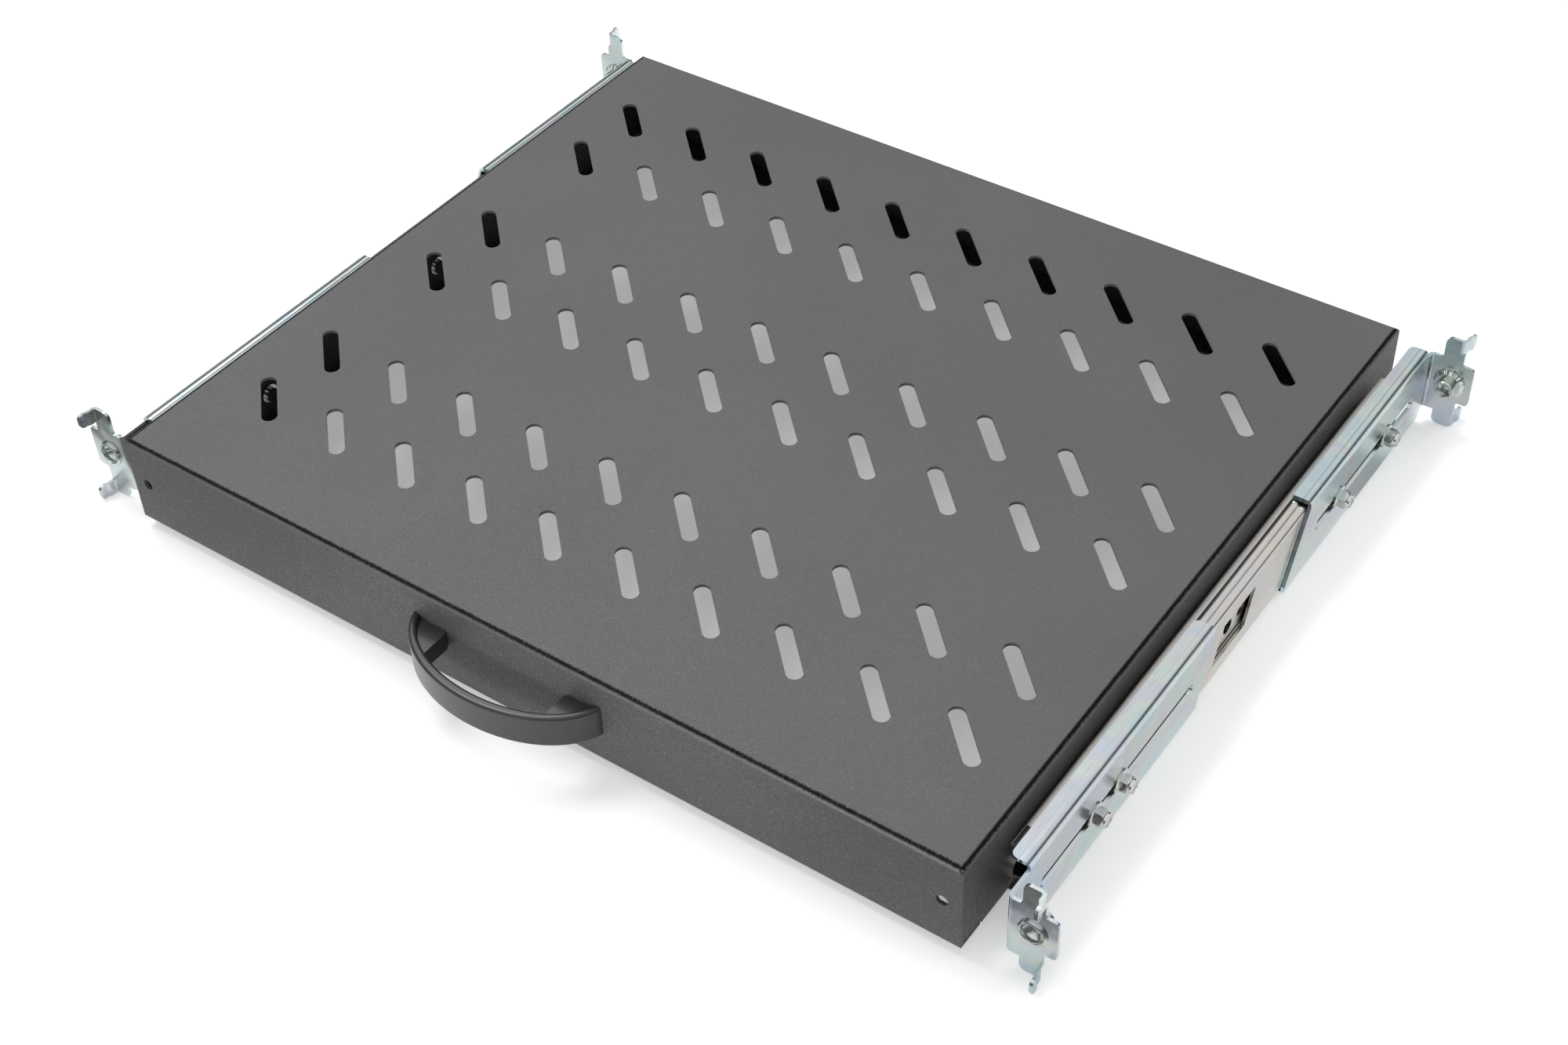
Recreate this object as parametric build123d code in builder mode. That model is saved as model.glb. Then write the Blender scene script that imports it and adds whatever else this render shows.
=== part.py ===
"""Sliding rack shelf for 19-inch racks: a vented sheet-steel tray on two telescopic ball slides.

Frame: millimetres, +Z up, -Y towards the rack's front, origin at the centre of the tray's top face.
The right side (+X) is modelled and the left side is its mirror image.
"""
import os

from build123d import *

# Tray, folded from one sheet and open underneath
tray_width = 417.0
tray_depth = 361.0
tray_height = 43.0
tray_sheet = 1.5
tray_fold_radius = 2.0
tray_lip = 12.0
tray_lip_gap = 1.0
corner_relief_radius = 1.4
corner_relief_inset = 0.7
lip_slit = 0.6

# Vent slots, six rows of ten in three pairs of rows
vent_length = 30.0
vent_width = 7.0
vent_angle = -45.0
vent_columns = 10
vent_pitch = 39.0
vent_pair_gap = 39.0
vent_group_pitch = 108.5
vent_groups = 3
vent_field_shift = 1.2

# Two small holes in the front panel
panel_hole_diameter = 5.0
panel_hole_inset = 8.5
panel_hole_drop = 21.5

# Handle, a bow standing on two feet in the middle of the front panel
handle_half_width = 48.3
handle_sink = 6.0
handle_reach = 25.2
handle_band = 4.4
handle_end_band = 3.0
handle_height = 15.5
handle_drop = 20.8
handle_edge_radius = 1.4
handle_foot_height = 8.5
handle_foot_rise = 1.0
handle_foot_inner = 30.0
handle_foot_reach = 16.0
handle_foot_side_inset = 8.3
handle_foot_side_reach = 9.0
handle_foot_end_inset = 1.8
handle_foot_radius = 2.0
handle_screw_spread = 74.0
handle_screw_diameter = 4.0
handle_screw_depth = 4.5
handle_screw_head_diameter = 7.5
handle_screw_head_height = 2.4
handle_screw_head_radius = 1.2

# Telescopic slide: three rolled members with two pairs of ball races
slide_drop = 28.5
slide_length = 300.0
slide_sheet = 1.2
outer_member_start = 39.0
middle_member_start = 31.0
inner_member_start = 29.0
inner_half_height = 10.2
ball_diameter = 3.5
race_depth = 0.7
race_clearance = 0.15
inner_race_offset = 3.6
outer_race_offset = 7.1
inner_flange_tip = 8.1
middle_flange_edge = 1.0
outer_flange_edge = 2.8
web_gap = 1.0
member_bend_radius = 1.6
nose_length = 6.0
nose_radius = 5.3
nose_rim_height = 3.4
inner_end_radius = 6.0

# Ball retainers, thin strips that space the balls
retainer_sheet = 0.5
retainer_length = 130.0
inner_retainer_start = 110.0
outer_retainer_start = 120.0
retainer_edge_margin = 2.6
retainer_window_end = 14.0
retainer_window_height = 15.0
balls_per_row = 5
ball_pitch = 27.0
ball_fit = 0.15

# Window and holes seen in the middle of the slide
window_start = 167.0
window_length = 28.0
window_height = 17.0
window_lean = 7.0
plate_hole_place = 183.0
plate_hole_spacing = 10.2
plate_hole_diameter = 7.0
plate_small_hole_diameter = 4.0

# Bump stop in the rear end of the outer member
bumper_length = 8.0
bumper_half_height = 10.0
bumper_gap = 0.5

# Screws that hold the inner member to the tray wall
tray_screw_places = (79.0, 193.0)
tray_screw_diameter = 4.0
tray_screw_head_diameter = 7.0
tray_screw_head_height = 2.2
tray_screw_head_radius = 0.7
tray_screw_length = 10.0
rivet_nut_flange_diameter = 9.0
rivet_nut_flange = 1.0
rivet_nut_body_diameter = 6.6
rivet_nut_length = 8.5

# Clinch studs and flange nuts that clamp the brackets
stud_diameter = 4.0
stud_head_diameter = 6.5
stud_head_height = 0.7
stud_length = 8.5
front_stud_places = (69.5, 89.0)
rear_stud_margins = (62.0, 15.0)
thread_fit = 0.03
nut_across_flats = 7.2
nut_flange_diameter = 10.6
nut_flange_thickness = 1.3
nut_hex_height = 3.4
nut_crown_diameter = 6.8
nut_crown_height = 1.3
nut_crown_taper = 30.0
nylon_ring_diameter = 4.9
nylon_ring_height = 1.2
nylon_ring_recess = 0.25

# Mounting brackets, a channel round the slide ending in a flange for the rack rail
press_nut_reach = 9.7
press_nut_drop = 24.8
bracket_sheet = 1.5
bracket_clearance = 0.15
bracket_height_clearance = 0.5
bracket_bend_radius = 1.0
bracket_top_flange = 8.8
bracket_bottom_flange = 6.0
bracket_slot_width = 5.6
bracket_step_radius = 1.1
bracket_corner_radius = 3.0
neck_top = 12.6
neck_bottom = 17.0
front_flange_place = 8.0
rear_flange_gap = 30.0
front_arm = dict(channel_start=14.0, top_end=154.0, bottom_end=143.0, slot_start=22.0, slot_end=138.5)
rear_arm = dict(channel_start=5.5, top_end=122.0, bottom_end=141.0, slot_start=17.0, slot_end=114.0)

# Rail flange of a bracket, measured from the axis of its press nut
flange_outer = 4.5
ear_outer = 10.0
ear_top = 11.0
ear_bottom = 9.5
ear_corner_radius = 2.0
ear_root_radius = 0.8
tab_inner = 4.8
tab_reach = 24.0
tab_corner_radius = 3.0
tab_root_radius = 1.2
hook_height = 7.0
hook_depth = 8.0
hook_jog = 1.0
hook_jog_start = 3.2
hook_jog_end = 4.8
hook_tip_radius = 2.2
hook_bend_radius = 0.9

# Press nut in the bracket's flange
press_nut_ring_diameter = 12.0
press_nut_ring_height = 1.2
press_nut_collar_diameter = 14.5
press_nut_collar_height = 2.5
press_nut_barrel_diameter = 9.4
press_nut_barrel_height = 5.5
press_nut_mouth_diameter = 9.2
press_nut_mouth_depth = 4.7
press_nut_thread_diameter = 5.2
press_nut_hex_across_flats = 6.2
press_nut_hex_depth = 4.0

# How near two points count as the same place
same_place = 0.01

# Places worked out from the sizes above
front_y = -tray_depth / 2
wall_x = tray_width / 2
panel_hole_x = wall_x - panel_hole_inset
slide_z = -slide_drop
ball_radius = ball_diameter / 2
race_radius = ball_radius + race_clearance
face_gap = 2 * (ball_radius - race_depth)
inner_ball_z = inner_half_height + face_gap / 2
middle_inner_face = inner_half_height + face_gap
middle_half_height = middle_inner_face + slide_sheet
outer_ball_z = middle_half_height + face_gap / 2
outer_inner_face = middle_half_height + face_gap
outer_half_height = outer_inner_face + slide_sheet
slide_crest = outer_ball_z + race_radius + slide_sheet
middle_web_inner = inner_flange_tip + slide_sheet
middle_web_outer = middle_web_inner + slide_sheet
outer_web_inner = middle_web_outer + web_gap
slide_thickness = outer_web_inner + slide_sheet
bracket_web_x = wall_x + slide_thickness + bracket_clearance
bracket_outer_x = bracket_web_x + bracket_sheet
bracket_inner_half = slide_crest + bracket_height_clearance
bracket_half = bracket_inner_half + bracket_sheet
press_nut_x = bracket_outer_x + press_nut_reach
press_nut_z = -press_nut_drop
slide_end = outer_member_start + slide_length
rear_stud_places = tuple(slide_end - margin for margin in rear_stud_margins)
rear_flange_place = slide_end + rear_flange_gap

os.makedirs("parts", exist_ok=True)


def save(part, name):
    """Label a finished piece and write it as its own file."""
    part.label = name
    export_step(part, f"parts/{name}.step")


def save_pair(part, name):
    """Write a right-hand piece and its mirror image for the left side."""
    save(part, f"{name}_right")
    with BuildPart() as left:
        mirror(part, about=Plane.YZ)
    save(left.part, f"{name}_left")


def cross_section(place):
    """The X-Z plane at a distance behind the tray's front face; extruding it by -length runs rearwards."""
    return Plane.XZ.offset(-(front_y + place))


def side_plane(x):
    """The Y-Z plane at x, facing outwards on the right side."""
    return Plane.YZ.offset(x)


def span(low_x, high_x, low_y, high_y, mode=Mode.ADD):
    """A rectangle in the current sketch from its low corner to its high corner."""
    with Locations(((low_x + high_x) / 2, (low_y + high_y) / 2)):
        Rectangle(high_x - low_x, high_y - low_y, mode=mode)


# The tray: a pan with its open side down, vented top and returned lips
lip_inner_x = wall_x - tray_sheet - tray_lip
lip_inner_y = tray_depth / 2 - tray_sheet - tray_lip
lip_gap_length = tray_lip + tray_sheet
with BuildPart() as tray:
    with Locations((0, 0, -tray_height / 2)):
        Box(tray_width, tray_depth, tray_height)
    fillet(tray.edges().group_by(Axis.Z)[-1], tray_fold_radius)
    with BuildSketch(Plane.XY.offset(-tray_sheet)):
        Rectangle(tray_width - 2 * tray_sheet, tray_depth - 2 * tray_sheet)
    extrude(amount=-(tray_height - 2 * tray_sheet), mode=Mode.SUBTRACT)
    with BuildSketch(Plane.XY.offset(-tray_height)):
        Rectangle(2 * lip_inner_x, 2 * lip_inner_y)
        for side in (-1, 1):
            for end in (-1, 1):
                with Locations((side * (lip_inner_x + lip_gap_length / 2), end * lip_inner_y)):
                    Rectangle(lip_gap_length, tray_lip_gap)
    extrude(amount=tray_sheet, mode=Mode.SUBTRACT)
    with BuildSketch(Plane.XY):
        for group in range(vent_groups):
            for half in (-0.5, 0.5):
                row_y = (group - (vent_groups - 1) / 2) * vent_group_pitch + half * vent_pair_gap
                for column in range(vent_columns):
                    column_x = (column - (vent_columns - 1) / 2) * vent_pitch
                    with Locations((column_x, row_y + vent_field_shift)):
                        SlotOverall(vent_length, vent_width, rotation=vent_angle)
    extrude(amount=-tray_sheet, mode=Mode.SUBTRACT)
    with BuildSketch(cross_section(0)):
        with Locations((-panel_hole_x, -panel_hole_drop), (panel_hole_x, -panel_hole_drop)):
            Circle(panel_hole_diameter / 2)
        with Locations((-handle_screw_spread / 2, -handle_drop), (handle_screw_spread / 2, -handle_drop)):
            Circle(handle_screw_diameter / 2 + thread_fit)
        for side in (-1, 1):
            with Locations((side * (wall_x - corner_relief_inset), -corner_relief_inset)):
                Circle(corner_relief_radius)
    extrude(amount=-tray_sheet, mode=Mode.SUBTRACT)
    with BuildSketch(side_plane(-wall_x)):
        for end in (-1, 1):
            slit_middle = end * (lip_inner_y + tray_lip / 2 - tray_lip_gap / 4)
            with Locations((slit_middle, -tray_height + tray_sheet + lip_slit / 2)):
                Rectangle(tray_lip + tray_lip_gap / 2, lip_slit)
    extrude(amount=tray_width, mode=Mode.SUBTRACT)
    with BuildSketch(side_plane(-wall_x)):
        with Locations([(front_y + place, slide_z) for place in tray_screw_places]):
            Circle(rivet_nut_body_diameter / 2 + thread_fit)
    extrude(amount=tray_width, mode=Mode.SUBTRACT)
save(tray.part, "tray_pan")

# The handle: a crescent bow with two feet and blind screw holes
with BuildPart() as handle:
    with BuildSketch(Plane.XY.offset(-handle_drop - handle_height / 2)):
        with Locations((0, front_y + handle_sink)):
            Ellipse(handle_half_width, handle_reach + handle_sink)
            Ellipse(
                handle_half_width - handle_end_band, handle_reach + handle_sink - handle_band,
                mode=Mode.SUBTRACT,
            )
        span(-handle_half_width, handle_half_width, front_y - handle_reach, front_y, Mode.INTERSECT)
    extrude(amount=handle_height)
    fillet(handle.edges().filter_by(GeomType.ELLIPSE), handle_edge_radius)
    with BuildSketch(Plane.XY.offset(-handle_drop + handle_foot_rise - handle_foot_height / 2)) as feet:
        for side in (-1, 1):
            with BuildLine():
                Polyline(
                    (side * handle_foot_inner, front_y),
                    (side * handle_foot_inner, front_y - handle_foot_reach),
                    (side * (handle_half_width - handle_foot_side_inset), front_y - handle_foot_side_reach),
                    (side * (handle_half_width - handle_foot_end_inset), front_y),
                    close=True,
                )
            make_face()
            fillet(
                feet.vertices().sort_by_distance((side * handle_foot_inner, front_y))[0],
                handle_foot_radius,
            )
    extrude(amount=handle_foot_height)
    with BuildSketch(cross_section(0)):
        with Locations((-handle_screw_spread / 2, -handle_drop), (handle_screw_spread / 2, -handle_drop)):
            Circle(handle_screw_diameter / 2 + thread_fit)
    extrude(amount=handle_screw_depth + thread_fit, mode=Mode.SUBTRACT)
save(handle.part, "handle_grip")

# Pan-head screws driven from inside the tray into the handle's feet
with BuildPart() as handle_screws:
    with BuildSketch(cross_section(tray_sheet)):
        with Locations((-handle_screw_spread / 2, -handle_drop), (handle_screw_spread / 2, -handle_drop)):
            Circle(handle_screw_head_diameter / 2)
    extrude(amount=-handle_screw_head_height)
    fillet(handle_screws.edges().group_by(Axis.Y)[-1], handle_screw_head_radius)
    with BuildSketch(cross_section(tray_sheet)):
        with Locations((-handle_screw_spread / 2, -handle_drop), (handle_screw_spread / 2, -handle_drop)):
            Circle(handle_screw_diameter / 2)
    extrude(amount=tray_sheet + handle_screw_depth)
save(handle_screws.part, "handle_screws")


def bead_half_width():
    """Half the width of a race's bead where it springs from the flange's near face."""
    return ((race_radius + slide_sheet) ** 2 - (face_gap / 2) ** 2) ** 0.5


def member_profile(profile, web, flange_edge, half_height, races):
    """A rolled channel in the current sketch: web, two flanges and a bead behind each ball race.

    web holds the web's two faces and flange_edge the flanges' free edge, measured out from the tray's
    wall. A race is its offset, its balls' height and the way its bead bulges, +1 outwards.
    """
    low_edge = min(web[0], flange_edge)
    high_edge = max(web[1], flange_edge)
    span(wall_x + low_edge, wall_x + high_edge, slide_z - half_height, slide_z + half_height)
    corner_x = wall_x + (web[0] if flange_edge > web[0] else web[1])
    corners = profile.vertices().filter_by_position(Axis.X, corner_x - same_place, corner_x + same_place)
    fillet(corners, member_bend_radius)
    hollow = half_height - slide_sheet
    if flange_edge > web[0]:
        span(wall_x + web[1], wall_x + high_edge, slide_z - hollow, slide_z + hollow, Mode.SUBTRACT)
    else:
        span(wall_x + low_edge, wall_x + web[0], slide_z - hollow, slide_z + hollow, Mode.SUBTRACT)
    half_width = bead_half_width()
    race_centres = [
        (wall_x + offset, side, ball_z, bulge)
        for offset, ball_z, bulge in races
        for side in (-1, 1)
    ]
    for race_x, side, ball_z, bulge in race_centres:
        base = slide_z + side * (ball_z + bulge * face_gap / 2)
        crest = slide_z + side * (ball_z + bulge * (race_radius + slide_sheet))
        with BuildLine() as bead:
            ThreePointArc((race_x - half_width, base), (race_x, crest), (race_x + half_width, base))
            Line((race_x + half_width, base), (race_x - half_width, base))
        make_face(bead.edges())
    with Locations([(race_x, slide_z + side * ball_z) for race_x, side, ball_z, bulge in race_centres]):
        Circle(race_radius, mode=Mode.SUBTRACT)


# The inner member: screwed to the tray's wall, races on the outside of its flanges, rounded nose
with BuildPart() as inner_member:
    with BuildSketch(cross_section(inner_member_start + nose_length)) as profile:
        member_profile(
            profile, (0, slide_sheet), inner_flange_tip, inner_half_height,
            [(inner_race_offset, inner_ball_z, -1)],
        )
    extrude(amount=-(slide_length - nose_length))
    rear_y = front_y + inner_member_start + slide_length
    with BuildSketch(side_plane(wall_x)) as outline:
        span(rear_y - slide_length, rear_y, slide_z - inner_half_height, slide_z + inner_half_height)
        fillet(outline.vertices().group_by(Axis.X)[-1], inner_end_radius)
    extrude(amount=inner_flange_tip, mode=Mode.INTERSECT)
    nose_y = front_y + inner_member_start
    with BuildSketch(side_plane(wall_x)) as nose:
        span(nose_y, nose_y + nose_length, slide_z - nose_radius, slide_z + nose_radius)
        fillet(nose.vertices().group_by(Axis.X)[0], nose_radius - slide_sheet)
    extrude(amount=nose_rim_height)
    with BuildSketch(side_plane(wall_x + slide_sheet)) as hollow:
        span(
            nose_y + slide_sheet, nose_y + nose_length,
            slide_z - nose_radius + slide_sheet, slide_z + nose_radius - slide_sheet,
        )
        fillet(hollow.vertices().group_by(Axis.X)[0], nose_radius - 2 * slide_sheet)
    extrude(amount=nose_rim_height - slide_sheet, mode=Mode.SUBTRACT)
    with BuildSketch(side_plane(wall_x)):
        with Locations([(front_y + place, slide_z) for place in tray_screw_places]):
            Circle(tray_screw_diameter / 2 + thread_fit)
    extrude(amount=slide_sheet, mode=Mode.SUBTRACT)
save_pair(inner_member.part, "inner_member")

# The middle member: races on both sides of its flanges and three holes in its web
with BuildPart() as middle_member:
    with BuildSketch(cross_section(middle_member_start)) as profile:
        member_profile(
            profile, (middle_web_inner, middle_web_outer), middle_flange_edge, middle_half_height,
            [(inner_race_offset, inner_ball_z, 1), (outer_race_offset, outer_ball_z, -1)],
        )
    extrude(amount=-slide_length)
    with BuildSketch(side_plane(wall_x + middle_web_inner)):
        plate_y = front_y + plate_hole_place
        with Locations((plate_y, slide_z)):
            Circle(plate_hole_diameter / 2)
        with Locations((plate_y - plate_hole_spacing, slide_z), (plate_y + plate_hole_spacing, slide_z)):
            Circle(plate_small_hole_diameter / 2)
    extrude(amount=slide_sheet, mode=Mode.SUBTRACT)
save_pair(middle_member.part, "middle_member")

# The outer member: races inside its flanges, a slanted window and the studs' holes in its web
with BuildPart() as outer_member:
    with BuildSketch(cross_section(outer_member_start)) as profile:
        member_profile(
            profile, (outer_web_inner, slide_thickness), outer_flange_edge, outer_half_height,
            [(outer_race_offset, outer_ball_z, 1)],
        )
    extrude(amount=-slide_length)
    with BuildSketch(side_plane(wall_x + outer_web_inner)):
        window_y = front_y + window_start
        with BuildLine():
            Polyline(
                (window_y, slide_z - window_height / 2),
                (window_y + window_length, slide_z - window_height / 2),
                (window_y + window_length + window_lean, slide_z + window_height / 2),
                (window_y + window_lean, slide_z + window_height / 2),
                close=True,
            )
        make_face()
        with Locations([(front_y + place, slide_z) for place in front_stud_places + rear_stud_places]):
            Circle(stud_diameter / 2 + thread_fit)
    extrude(amount=slide_sheet, mode=Mode.SUBTRACT)
    with BuildSketch(side_plane(wall_x + outer_web_inner)):
        with Locations([(front_y + place, slide_z) for place in front_stud_places + rear_stud_places]):
            Circle(stud_head_diameter / 2 + thread_fit)
    extrude(amount=stud_head_height + thread_fit, mode=Mode.SUBTRACT)
save_pair(outer_member.part, "outer_member")


def retainer(start, web, flange_edge, rail_z, race_offset, ball_z):
    """A folded strip between two members, with a hole for each ball and a long window in its web."""
    strip_y = front_y + start
    ball_places = [strip_y + retainer_length / 2 + (index - (balls_per_row - 1) / 2) * ball_pitch
                   for index in range(balls_per_row)]
    with BuildPart() as strip:
        with BuildSketch(cross_section(start)):
            top = rail_z + retainer_sheet
            span(wall_x + flange_edge, wall_x + web, slide_z - top, slide_z + top)
            span(
                wall_x + flange_edge, wall_x + web - retainer_sheet,
                slide_z - rail_z, slide_z + rail_z, Mode.SUBTRACT,
            )
        extrude(amount=-retainer_length)
        with BuildSketch(Plane.XY.offset(slide_z - top)):
            with Locations([(wall_x + race_offset, place) for place in ball_places]):
                Circle(ball_radius + ball_fit)
        extrude(amount=2 * top, mode=Mode.SUBTRACT)
        with BuildSketch(side_plane(wall_x + web - retainer_sheet)):
            with Locations((strip_y + retainer_length / 2, slide_z)):
                Rectangle(retainer_length - 2 * retainer_window_end, retainer_window_height)
        extrude(amount=retainer_sheet, mode=Mode.SUBTRACT)
    with BuildPart() as balls:
        for side in (-1, 1):
            with Locations([(wall_x + race_offset, place, slide_z + side * ball_z) for place in ball_places]):
                Sphere(ball_radius)
    return strip.part, balls.part


# The two ball cages of each slide, which travel at a quarter and three quarters of the tray's speed
inner_cage, inner_balls = retainer(
    inner_retainer_start, inner_flange_tip + (slide_sheet + retainer_sheet) / 2,
    inner_race_offset - retainer_edge_margin, inner_ball_z - retainer_sheet,
    inner_race_offset, inner_ball_z,
)
save_pair(inner_cage, "ball_retainer_inner")
save_pair(inner_balls, "balls_inner")
outer_cage, outer_balls = retainer(
    outer_retainer_start, middle_web_outer + (web_gap + retainer_sheet) / 2,
    outer_race_offset - retainer_edge_margin, outer_ball_z,
    outer_race_offset, outer_ball_z,
)
save_pair(outer_cage, "ball_retainer_outer")
save_pair(outer_balls, "balls_outer")

# The moulded bump stop that the middle member meets when the tray is pushed home
with BuildPart() as bumper:
    bumper_start = middle_member_start + slide_length + bumper_gap
    with BuildSketch(cross_section(bumper_start)) as block:
        span(
            wall_x + middle_flange_edge + slide_sheet, wall_x + outer_web_inner,
            slide_z - bumper_half_height, slide_z + bumper_half_height,
        )
        fillet(block.vertices().group_by(Axis.X)[0], member_bend_radius)
    extrude(amount=-bumper_length)
save_pair(bumper.part, "bump_stop")

# Pan-head screws through the inner member, and the rivet nuts in the tray's wall that take them
with BuildPart() as tray_screws:
    with BuildSketch(side_plane(wall_x + slide_sheet)):
        with Locations([(front_y + place, slide_z) for place in tray_screw_places]):
            Circle(tray_screw_head_diameter / 2)
    extrude(amount=tray_screw_head_height)
    fillet(tray_screws.edges().group_by(Axis.X)[-1], tray_screw_head_radius)
    with BuildSketch(side_plane(wall_x + slide_sheet)):
        with Locations([(front_y + place, slide_z) for place in tray_screw_places]):
            Circle(tray_screw_diameter / 2)
    extrude(amount=-tray_screw_length)
save_pair(tray_screws.part, "tray_screws")

with BuildPart() as rivet_nuts:
    with BuildSketch(side_plane(wall_x - tray_sheet)):
        with Locations([(front_y + place, slide_z) for place in tray_screw_places]):
            Circle(rivet_nut_flange_diameter / 2)
    extrude(amount=-rivet_nut_flange)
    with BuildSketch(side_plane(wall_x)):
        with Locations([(front_y + place, slide_z) for place in tray_screw_places]):
            Circle(rivet_nut_body_diameter / 2)
    extrude(amount=-(rivet_nut_length + tray_sheet))
    with BuildSketch(side_plane(wall_x)):
        with Locations([(front_y + place, slide_z) for place in tray_screw_places]):
            Circle(tray_screw_diameter / 2 + thread_fit)
    extrude(amount=-(rivet_nut_length + tray_sheet), mode=Mode.SUBTRACT)
save_pair(rivet_nuts.part, "rivet_nuts")

# Clinch studs, flush in the outer member's web, which carry the brackets
stud_places = [(front_y + place, slide_z) for place in front_stud_places + rear_stud_places]
with BuildPart() as studs:
    with BuildSketch(side_plane(wall_x + outer_web_inner)):
        with Locations(stud_places):
            Circle(stud_head_diameter / 2)
    extrude(amount=stud_head_height)
    with BuildSketch(side_plane(wall_x + outer_web_inner)):
        with Locations(stud_places):
            Circle(stud_diameter / 2)
    extrude(amount=stud_length)
save_pair(studs.part, "clinch_studs")

# Hexagon flange nuts with a crown that holds the nylon ring
with BuildPart() as nuts:
    with BuildSketch(side_plane(bracket_outer_x)):
        with Locations(stud_places):
            Circle(nut_flange_diameter / 2)
    extrude(amount=nut_flange_thickness)
    with BuildSketch(side_plane(bracket_outer_x + nut_flange_thickness)):
        with Locations(stud_places):
            RegularPolygon(nut_across_flats / 2, 6, major_radius=False)
    extrude(amount=nut_hex_height)
    with BuildSketch(side_plane(bracket_outer_x + nut_flange_thickness + nut_hex_height)):
        with Locations(stud_places):
            Circle(nut_crown_diameter / 2)
    extrude(amount=nut_crown_height, taper=nut_crown_taper)
    with BuildSketch(side_plane(bracket_outer_x)):
        with Locations(stud_places):
            Circle(stud_diameter / 2 + thread_fit)
    nut_height = nut_flange_thickness + nut_hex_height + nut_crown_height
    extrude(amount=nut_height, mode=Mode.SUBTRACT)
    with BuildSketch(side_plane(bracket_outer_x + nut_height - nylon_ring_height)):
        with Locations(stud_places):
            Circle(nylon_ring_diameter / 2 + thread_fit)
    extrude(amount=nylon_ring_height, mode=Mode.SUBTRACT)
save_pair(nuts.part, "flange_nuts")

with BuildPart() as nylon_rings:
    with BuildSketch(side_plane(bracket_outer_x + nut_height - nylon_ring_height)):
        with Locations(stud_places):
            Circle(nylon_ring_diameter / 2)
            Circle(stud_diameter / 2 + thread_fit, mode=Mode.SUBTRACT)
    extrude(amount=nylon_ring_height - nylon_ring_recess)
save_pair(nylon_rings.part, "nylon_rings")


def round_corner(sketch, u, v, radius):
    """Round the corner at u, v from the press nut's axis in an X-Z or X-Y sketch of a bracket."""
    corners = sketch.vertices().sort_by_distance((press_nut_x + u, v))
    fillet(corners[0], radius)


def flange_outline(outline):
    """The rail flange in the current sketch: body, ear and the two tabs that carry the hooks."""
    hook_root = flange_outer - bracket_bend_radius - bracket_sheet
    hook_base = tab_reach - hook_height
    span(bracket_web_x, press_nut_x + hook_root, press_nut_z - neck_bottom, press_nut_z + neck_top)
    span(press_nut_x, press_nut_x + ear_outer, press_nut_z - ear_bottom, press_nut_z + ear_top)
    tab_edge = press_nut_x - tab_inner
    span(tab_edge, press_nut_x + flange_outer, press_nut_z - hook_base, press_nut_z + hook_base)
    span(tab_edge, press_nut_x + hook_root, press_nut_z - tab_reach, press_nut_z + tab_reach)
    round_corner(outline, ear_outer, press_nut_z + ear_top, ear_corner_radius)
    round_corner(outline, ear_outer, press_nut_z - ear_bottom, ear_corner_radius)
    round_corner(outline, flange_outer, press_nut_z + ear_top, ear_root_radius)
    round_corner(outline, flange_outer, press_nut_z - ear_bottom, ear_root_radius)
    round_corner(outline, -tab_inner, press_nut_z + tab_reach, tab_corner_radius)
    round_corner(outline, -tab_inner, press_nut_z - tab_reach, tab_corner_radius)
    round_corner(outline, -tab_inner, press_nut_z + neck_top, tab_root_radius)


def hook_profile(profile):
    """A hook seen from above: it turns forwards out of the flange and jogs outwards near its tip."""
    inside = flange_outer - bracket_sheet
    root = flange_outer - bracket_bend_radius - bracket_sheet
    with BuildLine() as border:
        Polyline(
            (press_nut_x + root, bracket_sheet),
            (press_nut_x + flange_outer, bracket_sheet),
            (press_nut_x + flange_outer, -hook_jog_start),
            (press_nut_x + flange_outer + hook_jog, -hook_jog_end),
            (press_nut_x + flange_outer + hook_jog, -hook_depth),
            (press_nut_x + inside + hook_jog, -hook_depth),
            (press_nut_x + inside + hook_jog, -hook_jog_end),
            (press_nut_x + inside, -hook_jog_start),
            (press_nut_x + inside, 0),
            (press_nut_x + root, 0),
            close=True,
        )
    make_face(border.edges())
    round_corner(profile, flange_outer, bracket_sheet, hook_bend_radius + bracket_sheet)
    round_corner(profile, inside, 0, hook_bend_radius)


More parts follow.
